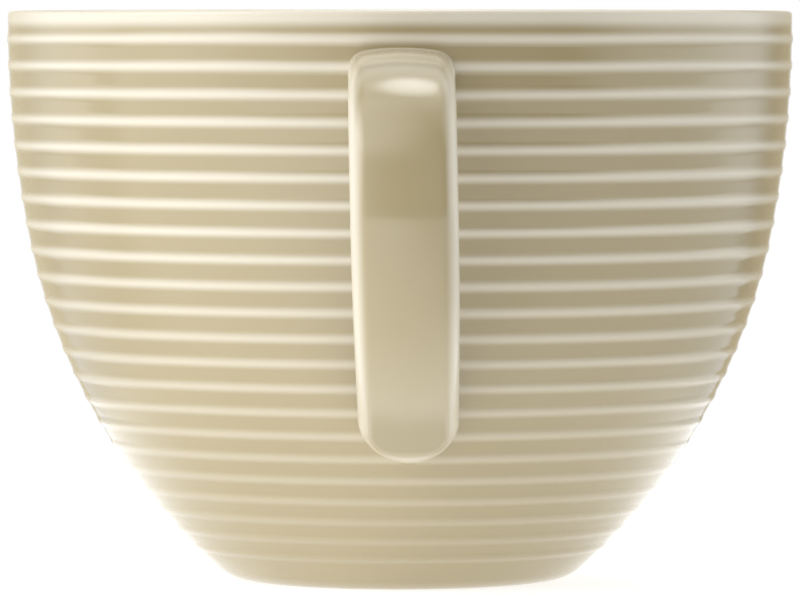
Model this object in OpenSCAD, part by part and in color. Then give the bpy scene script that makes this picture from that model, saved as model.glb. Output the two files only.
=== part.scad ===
// Ribbed cafe au lait cup: a turned porcelain bowl and a cast strap handle, set on with slip.
// Millimetres, +Z up. The origin is the centre of the foot's standing plane and the handle points to -Y.

/* [Cup] */
// Diameter over the rim
rim_d = 110; // [100:0.5:120]
// Height from the table to the top of the rim
cup_h = 79.6; // [74:0.2:86]
// Thickness of the wall
wall_t = 3; // [2.4:0.1:4]
// Radius of the gentle upper curve of the wall
upper_curve_r = 155; // [130:1:220]
// Height at which the gentle upper curve passes into the fuller lower one
curve_join_z = 48.4; // [44:0.4:54]
// Thickness of the floor
floor_t = 4.5; // [3:0.1:6]
// Radius of the curve between the inner wall and the floor
floor_curve_r = 14; // [8:0.5:18]

/* [Foot] */
// Diameter of the standing ring over its flat
foot_d = 43.2; // [38:0.2:50]
// Radius of the rounded edge from the wall to the standing ring
foot_edge_r = 5.6; // [3:0.1:7]
// Width of the flat of the standing ring
foot_ring_w = 3; // [2:0.1:5]
// Depth of the recess inside the standing ring
foot_recess = 1.6; // [0.8:0.1:2.5]

/* [Ribs] */
// Distance from crest to crest, measured along the wall
rib_pitch = 3.7; // [3:0.01:5]
// Width of a rib where it rises from the wall
rib_w = 2.2; // [1:0.1:2.8]
// Height of a rib above the wall
rib_h = 0.16; // [0.1:0.02:0.5]
// Distance of the first crest below the lip, measured along the wall
rib_first = 2.4; // [1.5:0.1:5]
// Least plain band between the last crest and the foot's rounded edge
plain_band = 3; // [2:0.5:12]

/* [Handle] */
// Width of the strap at its belly
strap_w = 14; // [11:0.5:18]
// Width of the strap where its tongue begins
tongue_w = 13.5; // [10:0.5:18]
// Thickness of the strap at its middle
strap_t = 6.1; // [5.6:0.1:8]
// Radius of the strap's rounded edges
strap_edge_r = 2.7; // [1.6:0.1:3]
// Distance of the strap's top face below the rim, where it leaves the wall
handle_drop = 5.2; // [4:0.2:10]
// Fall of the strap's upper run below the level, in degrees
handle_fall = 4; // [0:0.5:12]
// How far the strap's outer face stands out beyond the rim
handle_reach = 25; // [21:0.5:30]
// Distance below the rim at which the strap stands furthest out
belly_drop = 25.5; // [22:0.5:30]
// How squarely the strap turns down from its upper run, as a share of the bend
bend_fullness = 0.8; // [0.6:0.02:0.9]
// How far the strap falls before it turns in to the wall, as a share of that fall
sweep_fullness = 0.64; // [0.5:0.02:0.75]

/* [Tongue] */
// Height of the tip of the strap's lower end
tip_z = 19.3; // [15:0.1:24]
// Length of the rounded tongue that ends the strap
tongue_l = 10.5; // [8:0.5:14]
// Angle at which the tongue dips into the wall, in degrees
tongue_dip = 2; // [0:1:20]
// Height of the tongue's face above the ribs at its tip
tip_proud = 3.2; // [2.6:0.1:4]
// How softly the tongue's face runs down to its nose, as a share of its edge
nose_soft = 0.28; // [0:0.02:0.4]

/* [Slip joints] */
// Thickness of the slip over the crests of the ribs
slip_t = 0.2; // [0.1:0.05:0.6]
// Width of the bead of slip that stands out round the end of the strap
slip_bead = 0.8; // [0.4:0.1:2.5]

/* [Hidden] */
$fn = 128;

GLAZE = [0.83, 0.78, 0.67];
SLIP = [0.86, 0.82, 0.72];

// Outer wall, from the lip down: an upright start, the upper curve, the lower curve and the foot's edge,
// each tangent to the next. Points are [radius, height] and angles are the wall's lean from upright.
lip_r = wall_t / 2;
rim_r = rim_d / 2;
upper_c = [rim_r - upper_curve_r, cup_h - lip_r];
join_a = asin((upper_c.y - curve_join_z) / upper_curve_r);
join_p = upper_c + upper_curve_r * lean(join_a);
foot_c = [foot_d / 2, foot_edge_r];
to_foot = join_p - foot_c;
lower_curve_r = (foot_edge_r^2 - to_foot * to_foot) / (2 * (foot_edge_r - lean(join_a) * to_foot));
lower_c = join_p - lower_curve_r * lean(join_a);
foot_a = atan2(lower_c.y - foot_c.y, foot_c.x - lower_c.x);
upper_len = arc_length(upper_curve_r, join_a);
wall_len = upper_len + arc_length(lower_curve_r, foot_a - join_a);

// Ribs: low swells at a steady distance down the wall, as many as leave the plain band above the foot.
RIB_STEPS = 8;
rib_gaps = floor((wall_len - plain_band - rib_first) / rib_pitch);
rib_end = rib_first + rib_gaps * rib_pitch + rib_w / 2;
seat_out = rib_h + slip_t;

// Inside: the wall's own curves, moved in by its thickness, run into the level floor.
floor_z = foot_recess + floor_t;
inner_lower_r = lower_curve_r - wall_t;
floor_c = [
    lower_c.x + sqrt((inner_lower_r - floor_curve_r)^2 - (floor_z + floor_curve_r - lower_c.y)^2),
    floor_z + floor_curve_r
];
floor_a = atan2(lower_c.y - floor_c.y, floor_c.x - lower_c.x);
lip_c = [rim_r - lip_r, cup_h - lip_r];
WALL_STEPS = 48;
BAND_STEPS = 4;
ARC_STEPS = 12;

// Strap: two curves from the wall out to the belly, and from the belly in to the tip of the tongue.
EDGE_MOST = 0.9;
half_w = strap_w / 2;
half_t = strap_t / 2;
edge_r = min(strap_edge_r, EDGE_MOST * half_t);
face_r = ((half_w - edge_r)^2 / (half_t - edge_r) + half_t + edge_r) / 2;
face_a = asin((half_w - edge_r) / (face_r - edge_r));
root_z = cup_h - handle_drop - half_t;
root = [wall_r(root_z) - lip_r, root_z];
belly = [rim_r + handle_reach - half_t, cup_h - belly_drop];
tip_a = wall_lean(tip_z);
tip = [wall_r(tip_z), tip_z] + (tip_proud + seat_out - half_t) * lean(tip_a);
tip_dir = [-sin(tip_a + tongue_dip), -cos(tip_a + tongue_dip)];
upper_run = [
    root,
    root + bend_fullness * (belly.x - root.x) * [cos(handle_fall), -sin(handle_fall)],
    belly + [0, bend_fullness * (root.y - belly.y)],
    belly
];
lower_run = [
    belly,
    belly - [0, sweep_fullness * (belly.y - tip.y)],
    tip - tongue_l * tip_dir,
    tip
];
UPPER_RINGS = 18;
LOWER_RINGS = 34;
RING_COUNT = UPPER_RINGS + LOWER_RINGS;
FACE_STEPS = 6;
EDGE_STEPS = 4;
TIP_END = 0.9995;
TAPER_END = 0.7;
edge_w = edge_r * (1 - sin(face_a));
edge_shares = [for (i = [0 : EDGE_STEPS]) edge_r * (1 - cos((90 - face_a) * i / EDGE_STEPS)) / half_w];
across_shares = concat(
    [for (e = edge_shares) e - 1],
    [for (i = [1 : FACE_STEPS - 1]) (1 - edge_w / half_w) * (2 * i / FACE_STEPS - 1)],
    [for (i = [EDGE_STEPS : -1 : 1]) 1 - edge_shares[i]]
);
UPPER_SEAT_RINGS = 4;
LOWER_SEAT_RINGS = 24;

function lean(a) = [cos(a), -sin(a)];
function arc_length(r, a) = r * a * PI / 180;
// An arc that carries an outline on, so it leaves out its own first point.
function arc_on(c, r, from, to) =
    [for (i = [1 : ARC_STEPS]) c + r * lean(from + (to - from) * i / ARC_STEPS)];

// Lean and radius of the plain wall at a height, and its point at a distance along it, moved out square.
function wall_lean(z) =
    z > curve_join_z ? asin((upper_c.y - z) / upper_curve_r) : asin((lower_c.y - z) / lower_curve_r);
function wall_r(z) =
    z > curve_join_z
        ? upper_c.x + upper_curve_r * cos(wall_lean(z))
        : lower_c.x + lower_curve_r * cos(wall_lean(z));
function wall_point(s, out = 0) =
    s < upper_len
        ? upper_c + (upper_curve_r + out) * lean(s / arc_length(upper_curve_r, 1))
        : lower_c + (lower_curve_r + out) * lean(join_a + (s - upper_len) / arc_length(lower_curve_r, 1));
// Wall across one rib, whose crest is at a distance along the wall.
function rib(crest) = [
    for (i = [0 : RIB_STEPS])
        let(q = i / RIB_STEPS - 0.5) wall_point(crest + q * rib_w, rib_h * (1 + cos(360 * q)) / 2)
];
function ribbed_wall() = concat(
    [for (k = [0 : rib_gaps]) each rib(rib_first + k * rib_pitch)],
    [for (i = [1 : BAND_STEPS]) wall_point(rib_end + (wall_len - rib_end) * i / BAND_STEPS)]
);
function foot_edge() = arc_on(foot_c, foot_edge_r, foot_a, 90);
function plain_wall(out) = [for (i = [0 : WALL_STEPS]) wall_point(wall_len * i / WALL_STEPS, out)];
function inner_wall() = concat(
    [[floor_c.x, floor_z]],
    arc_on(floor_c, floor_curve_r, 90, floor_a),
    arc_on(lower_c, inner_lower_r, floor_a, join_a),
    arc_on(upper_c, upper_curve_r - wall_t, join_a, 0)
);
function lip() = arc_on(lip_c, lip_r, -180, 0);

// A cubic curve through its first and last points, and its direction of travel.
function curve(p, t) =
    (1 - t)^3 * p[0] + 3 * t * (1 - t)^2 * p[1] + 3 * t^2 * (1 - t) * p[2] + t^3 * p[3];
function heading(p, t) =
    let(d = (1 - t)^2 * (p[1] - p[0]) + 2 * t * (1 - t) * (p[2] - p[1]) + t^2 * (p[3] - p[2])) d / norm(d);

// Strap's section: crowned faces and round edges, all tangent arcs. Places across it are shares of its half
// width, closest together on the edges, and a face's height over the middle plane follows from the distance
// in from the outline. Round the tongue that distance is eased, so its face runs down softly to the nose.
function from_edge(share, tongue) = half_w * max(0, 1 - norm([share, tongue])) * (1 - nose_soft * tongue);
function face_height(d) =
    d < edge_w
        ? sqrt(edge_r^2 - (edge_r - d)^2)
        : half_t - face_r + sqrt(face_r^2 - (half_w - d)^2);

// Rings sit closer together towards the tip, where the tongue narrows to a round end. Each has its place,
// its heading and its share of the strap's full width.
function ring_place(i) =
    i < UPPER_RINGS
        ? [curve(upper_run, i / UPPER_RINGS), heading(upper_run, i / UPPER_RINGS), 1]
        : let(
            q = TIP_END * (1 - (1 - (i - UPPER_RINGS) / LOWER_RINGS)^2),
            t = min(1, q / TAPER_END)
        ) [curve(lower_run, q), heading(lower_run, q), 1 + (tongue_w / strap_w - 1) * t^2 * (3 - 2 * t)];
function ring(i, grow) = let(
    place = ring_place(i),
    out = [-place[1].y, place[1].x],
    tongue = max(0, 1 - norm(tip - place[0]) / tongue_l),
    round_off = sqrt(1 - tongue^2),
    wide = half_w * place[2] * round_off + grow,
    high = 1 + grow / half_t,
    at = place[0] + (i < RING_COUNT ? 0 : grow) * place[1]
) [
    for (face = [1, -1], share = across_shares)
        let(q = at + face * high * face_height(from_edge(share * round_off, tongue)) * out)
            [face * share * wide, -q.x, q.y]
];

module strap(from, to, grow = 0) {
    rings = [for (i = [from : to]) ring(i, grow)];
    n = len(rings[0]);
    last = len(rings) - 1;
    sides = [
        for (k = [0 : last - 1], j = [0 : n - 1])
            let(a = k * n + j, b = k * n + (j + 1) % n)
                each [[a, b, b + n], [a, b + n, a + n]]
    ];
    first_cap = [for (j = [n - 1 : -1 : 0]) j];
    last_cap = [for (j = [0 : n - 1]) last * n + j];
    polyhedron([for (r = rings) each r], concat(sides, [first_cap, last_cap]), convexity = 6);
}

// Everything inside the plain wall moved out by a distance, filled to the axis.
module plain_core(out) {
    rotate_extrude()
        polygon(concat(
            [[0, cup_h], [rim_r + out, cup_h]],
            plain_wall(out),
            [[0, wall_point(wall_len, out).y]]
        ));
}

module ribbed_core() {
    rotate_extrude()
        polygon(concat([[0, cup_h], [rim_r, cup_h], wall_point(0)], ribbed_wall(), foot_edge(), [[0, 0]]));
}

// Bowl: the ribbed outer wall, the ground foot ring with its recess, the smooth inside and the round lip.
module cup_body() {
    color(GLAZE)
        rotate_extrude()
            polygon(concat(
                lip(),
                ribbed_wall(),
                foot_edge(),
                [
                    [foot_d / 2 - foot_ring_w, 0],
                    [foot_d / 2 - foot_ring_w - foot_recess, foot_recess],
                    [0, foot_recess],
                    [0, floor_z]
                ],
                inner_wall()
            ));
}

// Handle: the solid strap, its ends cut to the curve of the wall.
module handle() {
    color(GLAZE)
        difference() {
            strap(0, RING_COUNT);
            plain_core(seat_out);
        }
}

// Slip between a strap end and the wall: it covers the ribs and squeezes out as a bead round the end.
module slip_joint(from, to) {
    color(SLIP)
        difference() {
            intersection() {
                strap(from, to, slip_bead);
                plain_core(seat_out);
            }
            ribbed_core();
        }
}

module upper_slip_joint() {
    slip_joint(0, UPPER_SEAT_RINGS);
}

module lower_slip_joint() {
    slip_joint(RING_COUNT - LOWER_SEAT_RINGS, RING_COUNT);
}

cup_body();
handle();
upper_slip_joint();
lower_slip_joint();
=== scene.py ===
import math
import bpy
import numpy as np
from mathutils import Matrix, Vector


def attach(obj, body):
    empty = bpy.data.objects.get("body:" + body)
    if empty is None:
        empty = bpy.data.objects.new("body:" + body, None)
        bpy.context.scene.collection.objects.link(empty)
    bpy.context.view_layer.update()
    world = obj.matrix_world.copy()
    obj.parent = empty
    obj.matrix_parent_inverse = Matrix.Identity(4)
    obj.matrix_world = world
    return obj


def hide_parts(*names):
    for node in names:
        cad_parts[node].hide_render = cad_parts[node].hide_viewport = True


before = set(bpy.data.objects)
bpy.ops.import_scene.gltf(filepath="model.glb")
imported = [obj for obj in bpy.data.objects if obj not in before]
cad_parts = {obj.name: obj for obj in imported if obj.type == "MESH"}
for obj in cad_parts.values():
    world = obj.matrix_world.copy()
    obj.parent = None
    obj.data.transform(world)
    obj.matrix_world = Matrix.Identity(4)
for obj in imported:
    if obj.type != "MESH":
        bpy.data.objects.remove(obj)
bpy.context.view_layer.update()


# Bowl
# A turned porcelain bowl in one piece: a softened lip, a wall that curves in to a small foot, and low raised
# ribs left by the shaping tool. A cream glaze covers it, paler over the ribs and the lip, where it runs
# thinner and a highlight from the light above is painted in, and the standing ring under the foot is ground
# bare.
MM = 0.001
CUP_H = 79.6
RIM_R = 55.0
WALL_T = 3.0
LIP_R = WALL_T / 2
UPPER_CURVE_R = 155.0
CURVE_JOIN_Z = 48.4
FOOT_R = 21.6
FOOT_EDGE_R = 5.6
FOOT_RING_W = 3.0
FOOT_RECESS = 1.6
FLOOR_Z = 6.1
FLOOR_CURVE_R = 14.0
RIB_PITCH = 3.7
RIB_FIRST = 2.4
RIB_W = 2.2
RIB_H = 0.16
RIB_COUNT = 22


def lean(angle):
    """Unit vector in the bowl's half plane, pointing out and down by an angle from the level."""
    return np.stack([np.cos(angle), -np.sin(angle)], -1)


UPPER_C = np.array([RIM_R - UPPER_CURVE_R, CUP_H - LIP_R])
JOIN_A = math.asin((UPPER_C[1] - CURVE_JOIN_Z) / UPPER_CURVE_R)
JOIN_P = UPPER_C + UPPER_CURVE_R * lean(JOIN_A)
FOOT_C = np.array([FOOT_R, FOOT_EDGE_R])
to_foot = JOIN_P - FOOT_C
LOWER_CURVE_R = (FOOT_EDGE_R**2 - to_foot @ to_foot) / (2 * (FOOT_EDGE_R - lean(JOIN_A) @ to_foot))
LOWER_C = JOIN_P - LOWER_CURVE_R * lean(JOIN_A)
FOOT_A = math.atan2(LOWER_C[1] - FOOT_C[1], FOOT_C[0] - LOWER_C[0])
UPPER_LEN = UPPER_CURVE_R * JOIN_A
WALL_LEN = UPPER_LEN + LOWER_CURVE_R * (FOOT_A - JOIN_A)


def wall(along, out=0.0):
    """Points [radius, height] of the plain wall at a distance along it from the lip, moved out from it."""
    along, out = np.broadcast_arrays(np.asarray(along, float), np.asarray(out, float))
    upper_a = along / UPPER_CURVE_R
    lower_a = JOIN_A + (along - UPPER_LEN) / LOWER_CURVE_R
    upper = UPPER_C + (UPPER_CURVE_R + out)[..., None] * lean(upper_a)
    lower = LOWER_C + (LOWER_CURVE_R + out)[..., None] * lean(lower_a)
    return np.where((along < UPPER_LEN)[..., None], upper, lower)


def smoothstep(low, high, value):
    share = np.clip((np.asarray(value) - low) / (high - low), 0, 1)
    return share * share * (3 - 2 * share)


def rib_swell(along):
    """Height of the ribs at a distance along the wall, from 0 between them to 1 on a crest."""
    count = np.clip(np.round((along - RIB_FIRST) / RIB_PITCH), 0, RIB_COUNT - 1)
    across = np.clip(np.abs(along - RIB_FIRST - count * RIB_PITCH) / RIB_W, 0, 0.5)
    return (1 + np.cos(2 * np.pi * across)) / 2


def arc(centre, radius, start, end, steps):
    return centre + radius * lean(np.linspace(start, end, steps + 1)[1:])


def add_piece(name, points, faces, thinning_and_painted_light):
    """A smooth mesh from points in millimetres, with a glaze mark at each: 1 is thinner glaze with painted
    highlight, -1 is painted shade.
    """
    mesh = bpy.data.meshes.new(name)
    mesh.from_pydata((np.asarray(points) * MM).tolist(), [], [list(map(int, f)) for f in faces])
    mesh.validate()
    mesh.shade_smooth()
    layer = mesh.attributes.new("glaze_break_and_painted_light", "FLOAT", "POINT")
    layer.data.foreach_set("value", np.asarray(thinning_and_painted_light, np.float32))
    piece = bpy.data.objects.new(name, mesh)
    bpy.context.scene.collection.objects.link(piece)
    return piece


def ring_faces(ring_count, width):
    """Quads between rings of equal width, each ring closed on itself."""
    first = np.arange(width)
    after = np.roll(first, -1)
    quad = np.stack([first, after, after + width, first + width], 1)
    return np.concatenate([quad + k * width for k in range(ring_count - 1)])


# Outline from the middle of the inside floor, over the lip and down to the middle of the underside.
inner_lower_r = LOWER_CURVE_R - WALL_T
floor_c_z = FLOOR_Z + FLOOR_CURVE_R
floor_c_r = LOWER_C[0] + math.sqrt((inner_lower_r - FLOOR_CURVE_R) ** 2 - (floor_c_z - LOWER_C[1]) ** 2)
floor_c = np.array([floor_c_r, floor_c_z])
floor_a = math.atan2(LOWER_C[1] - floor_c[1], floor_c[0] - LOWER_C[0])
LIP_OUTER_R = 0.6
LIP_INNER_R = 1.0
BEVEL_R = 0.4
lip_inner_c = np.array([RIM_R - WALL_T + LIP_INNER_R, CUP_H - LIP_INNER_R])
lip_outer_c = np.array([RIM_R - LIP_OUTER_R, CUP_H - LIP_OUTER_R])
ring_outer = np.array([FOOT_R, 0])
ring_inner = np.array([FOOT_R - FOOT_RING_W, 0])
recess_edge = ring_inner + [-FOOT_RECESS, FOOT_RECESS]
MIDDLE_R = 3.0
FLOOR_STEPS = 8
FLOOR_CURVE_STEPS = 14
INNER_LOWER_STEPS = 20
INNER_UPPER_STEPS = 12
LIP_STEPS = 8
LIP_SIDE_STEPS = 4
inside = np.concatenate([
    np.linspace([MIDDLE_R, FLOOR_Z], [floor_c[0], FLOOR_Z], FLOOR_STEPS),
    arc(floor_c, FLOOR_CURVE_R, math.pi / 2, floor_a, FLOOR_CURVE_STEPS),
    arc(LOWER_C, inner_lower_r, floor_a, JOIN_A, INNER_LOWER_STEPS),
    arc(UPPER_C, UPPER_CURVE_R - WALL_T, JOIN_A, 0, INNER_UPPER_STEPS),
    arc(lip_inner_c, LIP_INNER_R, -math.pi, -math.pi / 2, LIP_STEPS),
    arc(lip_outer_c, LIP_OUTER_R, -math.pi / 2, 0, LIP_STEPS),
    np.linspace([RIM_R, CUP_H - LIP_OUTER_R], [RIM_R, CUP_H - LIP_R], LIP_SIDE_STEPS + 1)[1:],
])
WALL_STEPS = 330
wall_along = np.linspace(0, WALL_LEN, WALL_STEPS + 1)[1:]
swell = rib_swell(wall_along)
FOOT_STEPS = 14
RING_STEPS = 4
RECESS_SIDE_STEPS = 4
RECESS_STEPS = 6
foot = np.concatenate([
    arc(FOOT_C, FOOT_EDGE_R, FOOT_A, math.pi / 2, FOOT_STEPS),
    np.linspace(ring_outer, ring_inner + [BEVEL_R, 0], RING_STEPS + 1)[1:],
    np.linspace(ring_inner + [0, BEVEL_R / 3], recess_edge + [BEVEL_R, -BEVEL_R], RECESS_SIDE_STEPS),
    np.linspace(recess_edge + [-BEVEL_R, 0], [MIDDLE_R, FOOT_RECESS], RECESS_STEPS),
])
profile = np.concatenate([inside, wall(wall_along, RIB_H * swell), foot])

# Glaze runs thinner and paler over the lip and the ribs, with a painted highlight from the light above mixed
# into that paleness. On the ribs this fades lower down, where the wall leans away from that light.
LIP_PALE_FROM_Z = CUP_H - 2.8
LIP_PALE_FULL_Z = CUP_H - 1.2
RIB_PALE_FROM_Z = 5.0
RIB_PALE_FULL_Z = 50.0
RIB_PALE_LEAST = 0.1
profile_pale_and_highlight = smoothstep(LIP_PALE_FROM_Z, LIP_PALE_FULL_Z, profile[:, 1])
risen = (wall(wall_along)[:, 1] - RIB_PALE_FROM_Z) / (RIB_PALE_FULL_Z - RIB_PALE_FROM_Z)
rib_pale_by_height = RIB_PALE_LEAST + (1 - RIB_PALE_LEAST) * np.clip(risen, 0, 1)
rows = slice(len(inside), len(inside) + WALL_STEPS)
profile_pale_and_highlight[rows] = np.maximum(profile_pale_and_highlight[rows], swell * rib_pale_by_height)

COLUMNS = 288
turn = 2 * math.pi * np.arange(COLUMNS) / COLUMNS
bowl_points = np.stack([
    profile[:, :1] * np.cos(turn), profile[:, :1] * np.sin(turn), np.repeat(profile[:, 1:], COLUMNS, 1)
], -1).reshape(-1, 3)
bowl_faces = ring_faces(len(profile), COLUMNS).tolist()
middle_top, middle_under = len(bowl_points), len(bowl_points) + 1
last_ring = len(bowl_points) - COLUMNS
bowl_points = np.concatenate([bowl_points, [[0, 0, FLOOR_Z], [0, 0, FOOT_RECESS]]])
bowl_pale_and_highlight = np.concatenate([np.repeat(profile_pale_and_highlight, COLUMNS), [0, 0]])
for j in range(COLUMNS):
    k = (j + 1) % COLUMNS
    bowl_faces.append([k, j, middle_top])
    bowl_faces.append([last_ring + j, last_ring + k, middle_under])
bowl = add_piece("bowl", bowl_points, bowl_faces, bowl_pale_and_highlight)


class Wire:
    """One output of a shader node. Arithmetic on wires adds Math nodes to their tree."""

    def __init__(self, tree, socket=None):
        self.tree = tree
        self.socket = socket

    def node(self, kind, settings=None, sockets=None, output=0):
        """Adds a node of a type: settings are set first, then its sockets get values or links."""
        added = self.tree.nodes.new("ShaderNode" + kind)
        for name, value in (settings or {}).items():
            setattr(added, name, value)
        for name, value in (sockets or {}).items():
            if isinstance(value, Wire):
                self.tree.links.new(value.socket, added.inputs[name])
            else:
                added.inputs[name].default_value = value
        return Wire(self.tree, added.outputs[output] if added.outputs else None)

    def maths(self, operation, *values):
        return self.node("Math", {"operation": operation}, dict(enumerate(values)))

    def __add__(self, other):
        return self.maths("ADD", self, other)

    def __sub__(self, other):
        return self.maths("SUBTRACT", self, other)

    def __rsub__(self, other):
        return self.maths("SUBTRACT", other, self)

    def __mul__(self, other):
        return self.maths("MULTIPLY", self, other)

    __radd__ = __add__
    __rmul__ = __mul__

    def step(self, low, high):
        """Smooth rise from 0 at low to 1 at high."""
        ends = {"Value": self, "From Min": low, "From Max": high}
        return self.node("MapRange", {"interpolation_type": "SMOOTHSTEP"}, ends)

    def mix(self, colour, other):
        """Colour between two, by this wire as the share of the second."""
        return self.node("Mix", {"data_type": "RGBA"}, {"Factor": self, 6: colour, 7: other}, output=2)


def empty_tree(owner):
    """The cleared node tree of a new material or world."""
    owner.use_nodes = True
    owner.node_tree.nodes.clear()
    return Wire(owner.node_tree)


# The deep colour is also used for painted shade, and the pale one for thinner glaze and painted highlights.
GLAZE = (0.435, 0.360, 0.202, 1)
GLAZE_DEEP_AND_SHADE = (0.32, 0.250, 0.098, 1)
GLAZE_PALE_AND_HIGHLIGHT = (0.79, 0.73, 0.60, 1)


def glaze(name):
    """Glossy cream glaze, deeper in random patches and as painted shade, paler and duller where glaze runs
    thinner and a highlight is painted in.
    """
    material = bpy.data.materials.new(name)
    make = empty_tree(material)
    place = make.node("TexCoord", output="Object")
    cloud = make.node("TexNoise", None, {"Vector": place, "Scale": 38.0, "Detail": 3.0, "Roughness": 0.5})
    fleck = make.node("TexNoise", None, {"Vector": place, "Scale": 900.0, "Detail": 2.0, "Roughness": 0.6})
    # The mark is above 0 where thinner glaze and a painted highlight lighten the colour, and below 0 where
    # painted shade deepens it.
    thinning_and_painted_light = make.node("Attribute", {"attribute_name": "glaze_break_and_painted_light"}, output="Fac")
    pale = thinning_and_painted_light.step(0.0, 1.0)
    painted_shade = thinning_and_painted_light.step(0.0, -1.0)
    thick_and_shade = cloud.step(0.35, 0.7) * 0.15 + painted_shade
    body = thick_and_shade.mix(GLAZE, GLAZE_DEEP_AND_SHADE)
    pale_mark_and_highlight = thinning_and_painted_light * (0.95 + cloud * 0.1) + (fleck - 0.5) * 0.03
    colour = pale_mark_and_highlight.mix(body, GLAZE_PALE_AND_HIGHLIGHT)
    ripple = make.node("TexNoise", None, {"Vector": place, "Scale": 210.0, "Detail": 1.0, "Roughness": 0.4})
    bump = make.node("Bump", None, {"Strength": 0.04, "Distance": 0.0004, "Height": ripple})
    shader = make.node("BsdfPrincipled", None, {
        "Base Color": colour, "Roughness": 0.15 + fleck * 0.04 + pale * 0.05, "Normal": bump, "IOR": 1.6,
        "Coat Weight": 0.5 - pale * 0.3, "Coat Roughness": 0.09, "Coat IOR": 1.7,
    })
    make.node("OutputMaterial", None, {"Surface": shader})
    return material


PORCELAIN_DULL = (0.70, 0.66, 0.57, 1)
PORCELAIN_WHITE = (0.84, 0.82, 0.76, 1)


def bare_porcelain():
    """Ground unglazed porcelain of the standing ring: chalky white with a fine grain."""
    material = bpy.data.materials.new("ground_porcelain")
    make = empty_tree(material)
    place = make.node("TexCoord", output="Object")
    grain = make.node("TexNoise", None, {"Vector": place, "Scale": 1400.0, "Detail": 4.0, "Roughness": 0.7})
    stain = make.node("TexNoise", None, {"Vector": place, "Scale": 90.0, "Detail": 3.0, "Roughness": 0.6})
    colour = (grain * 0.5 + stain * 0.5).mix(PORCELAIN_DULL, PORCELAIN_WHITE)
    bump = make.node("Bump", None, {"Strength": 0.3, "Distance": 0.0001, "Height": grain})
    shader = make.node("BsdfPrincipled", None, {
        "Base Color": colour, "Roughness": 0.6 + grain * 0.25, "Normal": bump, "IOR": 1.45,
    })
    make.node("OutputMaterial", None, {"Surface": shader})
    return material


bowl.data.materials.append(glaze("body_glaze"))
bowl.data.materials.append(bare_porcelain())

# The bare rows are the flat of the ring, the bevel on its inner side and the first row up the recess.
BARE_FIRST = len(inside) + WALL_STEPS + FOOT_STEPS - 1
BARE_COUNT = RING_STEPS + 2
for quad in range(BARE_FIRST * COLUMNS, (BARE_FIRST + BARE_COUNT) * COLUMNS):
    bowl.data.polygons[quad].material_index = 1
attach(bowl, "root")
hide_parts("cup_body")


# Strap handle
# A solid porcelain strap cast in its own mould: crowned faces, round edges, a square bend at the top and
# a rounded tongue at the foot. It is set on by hand, so it leans a little, and has the bowl's glaze.
STRAP_W = 14.0
TONGUE_W = 13.5
STRAP_T = 6.1
STRAP_EDGE_R = 2.7
HANDLE_DROP = 5.2
HANDLE_FALL = math.radians(4)
HANDLE_REACH = 25.0
BELLY_DROP = 25.5
BEND_FULLNESS = 0.8
SWEEP_FULLNESS = 0.64
TIP_Z = 19.3
TONGUE_L = 10.5
TONGUE_DIP = math.radians(2)
TIP_PROUD = 3.2
NOSE_SOFT = 0.28
SEAT_OUT = 0.36
SEAT_DEPTH = 0.6
HANDLE_OFF = 0.2
HANDLE_LEAN = 0.02

half_w, half_t = STRAP_W / 2, STRAP_T / 2
face_r = ((half_w - STRAP_EDGE_R) ** 2 / (half_t - STRAP_EDGE_R) + half_t + STRAP_EDGE_R) / 2
face_a = math.asin((half_w - STRAP_EDGE_R) / (face_r - STRAP_EDGE_R))


def wall_at(height):
    """Radius of the plain wall at a height, and its lean from upright."""
    centre, radius = (UPPER_C, UPPER_CURVE_R) if height > CURVE_JOIN_Z else (LOWER_C, LOWER_CURVE_R)
    angle = math.asin((centre[1] - height) / radius)
    return centre[0] + radius * math.cos(angle), angle


root_z = CUP_H - HANDLE_DROP - half_t
root = np.array([wall_at(root_z)[0] - SEAT_DEPTH, root_z])
belly = np.array([RIM_R + HANDLE_REACH - half_t, CUP_H - BELLY_DROP])
tip_r, tip_a = wall_at(TIP_Z)
tip = np.array([tip_r, TIP_Z]) + (TIP_PROUD + SEAT_OUT - half_t) * lean(tip_a)
tip_dir = -np.array([math.sin(tip_a + TONGUE_DIP), math.cos(tip_a + TONGUE_DIP)])
upper_run = np.array([
    root,
    root + BEND_FULLNESS * (belly[0] - root[0]) * lean(HANDLE_FALL),
    belly + [0, BEND_FULLNESS * (root[1] - belly[1])],
    belly,
])
lower_run = np.array([
    belly, belly - [0, SWEEP_FULLNESS * (belly[1] - tip[1])], tip - TONGUE_L * tip_dir, tip
])


def curve(points, share):
    """Points and unit headings along a cubic curve."""
    share = np.asarray(share)[:, None]
    rest = 1 - share
    place = rest**3 * points[0] + 3 * share * rest**2 * points[1]
    place = place + 3 * share**2 * rest * points[2] + share**3 * points[3]
    heading = rest**2 * (points[1] - points[0]) + 2 * share * rest * (points[2] - points[1])
    heading = heading + share**2 * (points[3] - points[2])
    return place, heading / np.linalg.norm(heading, axis=1, keepdims=True)


UPPER_RINGS = 60
LOWER_RINGS = 120
TIP_END = 0.99995
TAPER_END = 0.7
upper_place, upper_heading = curve(upper_run, np.arange(UPPER_RINGS) / UPPER_RINGS)
lower_share = TIP_END * (1 - (1 - np.arange(LOWER_RINGS + 1) / LOWER_RINGS) ** 2)
lower_place, lower_heading = curve(lower_run, lower_share)
line = np.concatenate([upper_place, lower_place])
heading = np.concatenate([upper_heading, lower_heading])
outward = np.stack([-heading[:, 1], heading[:, 0]], 1)
lower_taper = 1 - (1 - TONGUE_W / STRAP_W) * smoothstep(0, TAPER_END, lower_share)
taper = np.concatenate([np.ones(UPPER_RINGS), lower_taper])
tongue_share = np.clip(1 - np.linalg.norm(tip - line, axis=1) / TONGUE_L, 0, 1)


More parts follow.
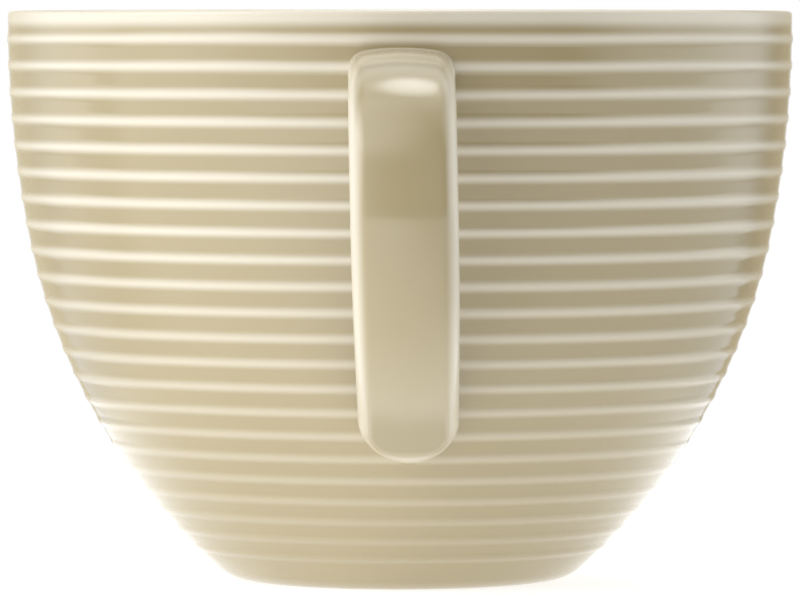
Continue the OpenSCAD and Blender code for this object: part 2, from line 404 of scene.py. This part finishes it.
def from_edge(across, ring):
    """Distance of a place on the strap from its outline, eased towards the nose of the tongue."""
    inward = 1 - np.hypot(across / (half_w * taper[ring]), tongue_share[ring])
    return half_w * np.clip(inward, 0, 1) * (1 - NOSE_SOFT * tongue_share[ring])


def strap_height(depth):
    """Height of the strap's face over its middle plane: a round edge all along its outline, then a crown."""
    edge = np.sqrt(np.clip(STRAP_EDGE_R**2 - (STRAP_EDGE_R - depth) ** 2, 0, None))
    face = half_t - face_r + np.sqrt(face_r**2 - (half_w - depth) ** 2)
    return np.where(depth < STRAP_EDGE_R * (1 - math.sin(face_a)), edge, face)


FACE_STEPS = 16
EDGE_STEPS = 12
edge_across = STRAP_EDGE_R * (1 - np.cos(np.linspace(0, math.pi / 2 - face_a, EDGE_STEPS + 1))) / half_w
face_across = np.linspace(edge_across[-1], 2 - edge_across[-1], FACE_STEPS + 1)[1:-1]
across_share = np.concatenate([edge_across, face_across, 2 - edge_across[::-1]]) - 1
ring_share = np.concatenate([across_share[:-1], -across_share[:-1]])
ring_side = np.repeat([1, -1], len(across_share) - 1)
ring_half = half_w * taper * np.sqrt(1 - tongue_share**2)
strap_x = ring_half[:, None] * ring_share
strap_depth = from_edge(strap_x, np.arange(len(line))[:, None])
strap_h = strap_height(strap_depth) * ring_side
strap_rz = line[:, None] + strap_h[..., None] * outward[:, None]


def hand_set(height):
    """Distance of the strap's middle from the bowl's plane at a height: it leans a little to one side."""
    return HANDLE_OFF + HANDLE_LEAN * (root_z - height)


def on_wall(across, along, out):
    """Points in space at a distance across from the strap's middle, along the wall and out from it."""
    point = wall(along, out)
    x = across + hand_set(point[..., 1])
    return np.stack([x, -np.sqrt(np.clip(point[..., 0] ** 2 - x**2, 0, None)), point[..., 1]], -1)


def wall_place(radius, height):
    """Distance along the wall and distance out from it of points in the bowl's half plane."""
    point = np.stack([radius, height], -1)
    from_upper, from_lower = point - UPPER_C, point - LOWER_C
    upper_a = np.arctan2(-from_upper[..., 1], from_upper[..., 0])
    lower_a = np.arctan2(-from_lower[..., 1], from_lower[..., 0])
    on_upper = upper_a < JOIN_A
    along = np.where(on_upper, UPPER_CURVE_R * upper_a, UPPER_LEN + LOWER_CURVE_R * (lower_a - JOIN_A))
    upper_out = np.linalg.norm(from_upper, axis=-1) - UPPER_CURVE_R
    lower_out = np.linalg.norm(from_lower, axis=-1) - LOWER_CURVE_R
    return along, np.where(on_upper, upper_out, lower_out)


free = np.stack([strap_x + hand_set(strap_rz[..., 1]), -strap_rz[..., 0], strap_rz[..., 1]], -1)
along, out = wall_place(np.hypot(free[..., 0], free[..., 1]), free[..., 2])
seated = on_wall(strap_x, along, np.full_like(along, -SEAT_DEPTH))
strap_points = np.where((out < -SEAT_DEPTH)[..., None], seated, free).reshape(-1, 3)
width = len(ring_share)
strap_faces = ring_faces(len(line), width).tolist()
strap_faces.append(list(range(width))[::-1])
strap_faces.append([len(strap_points) - width + j for j in range(width)])

# Painted light on the strap's glaze: paler edges and nose, partly thinner glaze and partly painted highlight;
# a painted highlight on top of the bend, where it faces up to the light; and painted shade on the tongue's
# face, which turns down under the strap's belly, away from the light.
EDGE_PALE, TOP_HIGHLIGHT, NOSE_PALE = 0.9, 0.5, 0.8
EDGE_FULL, EDGE_END = 0.4, 1.9
TOP_FROM, TOP_FULL = 0.95, 0.99
NOSE_FROM, NOSE_FULL = 7.0, 2.5
TONGUE_SHADE_FROM, TONGUE_SHADE_FULL = 25.0, 10.0
TONGUE_SHADE_EDGE, TONGUE_SHADE_INSET = 1.2, 2.4
edge = EDGE_PALE * (1 - smoothstep(EDGE_FULL, EDGE_END, strap_depth))
# Painted highlight on the top of the bend, where it faces up to the light.
top = TOP_HIGHLIGHT * smoothstep(TOP_FROM, TOP_FULL, outward[:, 1:] * ring_side)
to_tip = np.linalg.norm(tip - line, axis=1)[:, None]
nose = smoothstep(NOSE_FROM, NOSE_FULL, to_tip)
# Painted shade that deepens the tongue's face away from its edges and nose.
tongue_shade = smoothstep(TONGUE_SHADE_FROM, TONGUE_SHADE_FULL, to_tip) * smoothstep(TONGUE_SHADE_EDGE, TONGUE_SHADE_INSET, strap_depth) * (1 - nose)
strap_pale_and_painted_light = np.maximum(np.maximum(edge, top), NOSE_PALE * nose) - tongue_shade
strap = add_piece("strap_handle", strap_points, strap_faces, strap_pale_and_painted_light.ravel())
strap.data.materials.append(glaze("handle_glaze"))
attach(strap, "root")
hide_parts("handle")


# Slip joints
# Thin skirts of porcelain slip that lute the two ends of the strap to the wall. What squeezed out round
# each end was wiped down, so it fills the wall between the ribs and thins out away from the strap.
OUTLINE_STEPS = 48
SCAN_ACROSS = 161
SCAN_ALONG = 900
SCAN_MARGIN = 1.0
SCAN_AHEAD = 0.5


def strap_outline(rings, out):
    """Closed loop [across, along] where a stretch of the strap crosses the wall moved out by a distance."""
    stretch = np.arange(len(line))[rings]
    across = np.linspace(-half_w - SCAN_MARGIN, half_w + SCAN_MARGIN, SCAN_ACROSS)
    along = np.linspace(0, WALL_LEN, SCAN_ALONG)
    point = on_wall(across[None, :], along[:, None], np.full((len(along), len(across)), out))
    flat = np.stack([-point[..., 1], point[..., 2]], -1)
    nearest = stretch[np.argmin(((flat[:, :, None] - line[stretch]) ** 2).sum(-1), -1)]
    offset = flat - line[nearest]
    ahead = np.abs((offset * heading[nearest]).sum(-1))
    height = np.abs((offset * outward[nearest]).sum(-1))
    within = strap_height(from_edge(across[None, :], nearest)) - height
    within = np.where((ahead < SCAN_AHEAD) & (np.abs(across) < ring_half[nearest]), within, -1)
    met = np.flatnonzero((within > 0).any(1))
    sides = []
    for row in within[met]:
        inside = np.flatnonzero(row > 0)
        low, high = inside[0], inside[-1]
        left = np.interp(0, [row[low - 1], row[low]], across[[low - 1, low]])
        right = np.interp(0, [row[high + 1], row[high]], across[[high + 1, high]])
        sides.append((left, right))
    sides = np.array(sides)
    share = (1 - np.cos(np.pi * np.linspace(0, 1, OUTLINE_STEPS + 1))) / 2
    place = along[met[0]] + (along[met[-1]] - along[met[0]]) * share
    left, right = (np.interp(place, along[met], sides[:, k]) for k in range(2))
    left[[0, -1]] = right[[0, -1]] = (left[[0, -1]] + right[[0, -1]]) / 2
    return np.concatenate([np.stack([right, place], 1), np.stack([left, place], 1)[-2:0:-1]])


SKIRT_SUNK = 0.04
SKIRT_ROOT = 0.4
SKIRT_HOLLOW = 0.2
SKIRT_TUCK = 0.1
SKIRT_STEPS = 8


def slip_skirt(name, rings, rise, reach, thinning_and_painted_light):
    """Hollow skirt of slip round one end of the strap, from the strap's side down to the wall."""
    corner = strap_outline(rings, RIB_H)
    above = strap_outline(rings, RIB_H + rise)
    forward = np.roll(corner, -1, 0) - np.roll(corner, 1, 0)
    side = np.stack([-forward[:, 1], forward[:, 0]], 1)
    side /= np.linalg.norm(side, axis=1, keepdims=True)
    side *= np.sign(((corner - corner.mean(0)) * side).sum(1))[:, None]
    middle = corner.mean(0)
    top = np.concatenate([above, np.full((len(above), 1), RIB_H + rise)], 1)
    bend = np.concatenate([corner + SKIRT_HOLLOW * reach * side, np.full((len(corner), 1), RIB_H)], 1)
    hem = np.concatenate([corner + reach * side, np.full((len(corner), 1), -SKIRT_SUNK)], 1)
    tucked = (1 - SKIRT_TUCK) * corner + SKIRT_TUCK * middle
    root = np.concatenate([tucked, np.full((len(corner), 1), -SKIRT_ROOT)], 1)
    share = np.linspace(0, 1, SKIRT_STEPS + 1)[:, None, None]
    skin = (1 - share) ** 2 * top + 2 * share * (1 - share) * bend + share**2 * hem
    loops = np.concatenate([skin, root[None], top[None]])
    points = on_wall(loops[..., 0], loops[..., 1], loops[..., 2])
    faces = ring_faces(len(loops), len(corner))
    last = (len(loops) - 1) * len(corner)
    faces = np.where(faces >= last, faces - last, faces)
    return add_piece(name, points[:-1].reshape(-1, 3), faces.tolist(), np.full(last, thinning_and_painted_light))


slip_glaze = glaze("slip_glaze")
for name, rings, rise, reach, thinning_and_painted_light, node in (
    ("upper_slip", slice(0, UPPER_RINGS), 0.05, 0.25, 0.25, "upper_slip_joint"),
    ("lower_slip", slice(UPPER_RINGS, len(line)), 0.25, 1.6, 0.0, "lower_slip_joint"),
):
    slip = slip_skirt(name, rings, rise, reach, thinning_and_painted_light)
    slip.data.materials.append(slip_glaze)
    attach(slip, "root")
    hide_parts(node)


# Studio
# A translucent white table lit from beneath, brighter in front on the left and just behind the cup. It stands
# in a cream room with a tall window and pale wall on the left, a pale card on the right, soft lights high on
# all sides, a small strip light over the handle and a white backdrop.
TABLE_HALF_W = 1.5
TABLE_FRONT, TABLE_BACK = -0.47, 0.13
TABLE_DIM = (0.3, 0.3, 0.3, 1)
TABLE_BRIGHT = (0.9, 0.9, 0.9, 1)
TABLE_PAPER = (0.5, 0.5, 0.5, 1)
NEAR_BRIGHT = 0.7
left_edge, right_edge = -TABLE_HALF_W, TABLE_HALF_W
table_corners = [
    (left_edge, TABLE_FRONT, 0), (right_edge, TABLE_FRONT, 0),
    (right_edge, TABLE_BACK, 0), (left_edge, TABLE_BACK, 0),
]
table_mesh = bpy.data.meshes.new("table_top")
table_mesh.from_pydata(table_corners, [], [[0, 1, 2, 3]])
table = bpy.data.objects.new("table_top", table_mesh)
bpy.context.scene.collection.objects.link(table)
table_white = bpy.data.materials.new("table_white")
make = empty_tree(table_white)
place = make.node("TexCoord", output="Object")
across, back = (make.node("SeparateXYZ", None, {"Vector": place}, output=k) for k in range(2))
from_cup = make.node("VectorMath", {"operation": "LENGTH"}, {0: place}, output="Value")
front_left = across.step(0.06, -0.04) * back.step(0.0, -0.06)
behind = across.step(-0.085, -0.067) * across.step(0.085, 0.067) * back.step(-0.03, 0.03)
bright = front_left + behind + from_cup.step(0.11, 0.06) * (1 - front_left - behind) * NEAR_BRIGHT
paper = make.node("BsdfDiffuse", None, {"Color": TABLE_PAPER})
glow = make.node("Emission", None, {"Color": bright.mix(TABLE_DIM, TABLE_BRIGHT), "Strength": 1.0})
lit_paper = make.node("AddShader", None, {0: paper, 1: glow})
make.node("OutputMaterial", None, {"Surface": lit_paper})
table_mesh.materials.append(table_white)

ROOM_LEFT = (0.72, 0.65, 0.49, 1)
ROOM_RIGHT = (0.50, 0.43, 0.29, 1)
BACKDROP_WHITE = (1, 1, 1, 1)
PALE_GROUND = (0.85, 0.85, 0.85, 1)
world = bpy.data.worlds.new("studio")
bpy.context.scene.world = world
make = empty_tree(world)
toward = make.node("TexCoord", output="Generated")
side, ahead, up = (make.node("SeparateXYZ", None, {"Vector": toward}, output=k) for k in range(3))


def soft_light(middle, edge, level):
    """A light round a direction [side, ahead, up], at its level in the middle and fading out at its edge."""
    facing = make.node("VectorMath", {"operation": "DOT_PRODUCT"}, {0: toward, 1: middle}, output="Value")
    return facing.step(edge, 1.0) * level


left_window = soft_light((-0.97, -0.26, 0), 0.25, 1.08)
left_wall = soft_light((-0.87, 0.5, 0), 0.5, 0.6)
front_fill = soft_light((0, -1, 0), 0.6, 0.2)
right_card = soft_light((0.98, 0.17, 0), 0.6, 1.4)
room_tone = side.step(0.4, -0.4).mix(ROOM_RIGHT, ROOM_LEFT)
room_behind = ahead.step(0.6, 0.92) * up.step(0.59, 0.34)
standing = up.step(-0.34, -0.07) * up.step(0.59, 0.34)
key_light = soft_light((-0.82, -0.44, 0.36), 0.85, 1.2)
front_light = soft_light((-0.52, -0.59, 0.62), 0.6, 1.45) * up.step(0.2, 0.5)
right_light = soft_light((0.70, 0, 0.70), 0.6, 0.85) * up.step(0.3, 0.6)
back_light = soft_light((0, 0.64, 0.77), 0.7, 1.1) * up.step(0.35, 0.7)
overhead = soft_light((0, 0, 1), 0.85, 0.75)
STRIP_SIDE, STRIP_AHEAD = 0.05, 0.22
STRIP_TIGHT_SIDE, STRIP_TIGHT_AHEAD = 4.4, 2.8
STRIP_LEVEL = 2.7
strip_side = (side - STRIP_SIDE) * STRIP_TIGHT_SIDE
strip_ahead = (ahead - STRIP_AHEAD) * STRIP_TIGHT_AHEAD
strip = (strip_side * strip_side + strip_ahead * strip_ahead).step(1.0, 0.0) * up.step(0.0, 0.3) * STRIP_LEVEL
backdrop = ahead.step(0.97, 0.985)
level = (left_window + left_wall + front_fill + right_card) * standing
level = level + key_light + front_light + right_light + back_light + overhead + strip
light = backdrop.mix(room_behind.mix(level, room_tone), BACKDROP_WHITE)
light = up.step(-0.2, -0.35).mix(light, PALE_GROUND)
sky = make.node("Background", None, {"Color": light, "Strength": 1.0})
make.node("OutputWorld", None, {"Surface": sky})

# Camera at the photograph's angle: level with the strap's top, a long way off with a long lens.
PHOTO_W, PHOTO_H = 800, 596
FOCAL_PX = 6380
EYE = Vector((0, -0.897, 0.0754))
HORIZON_Y = 41
SENSOR_W = 36.0
camera_data = bpy.data.cameras.new("camera")
camera_data.sensor_width = SENSOR_W
camera_data.lens = FOCAL_PX / PHOTO_W * SENSOR_W
camera_data.clip_start = 0.05
camera_data.clip_end = 20
camera = bpy.data.objects.new("camera", camera_data)
camera.location = EYE
aim = EYE + Vector((0, 1, -(PHOTO_H / 2 - HORIZON_Y) / FOCAL_PX))
camera.rotation_euler = (aim - EYE).to_track_quat("-Z", "Y").to_euler()
bpy.context.scene.collection.objects.link(camera)
bpy.context.scene.camera = camera
bpy.context.scene.view_settings.view_transform = "Standard"
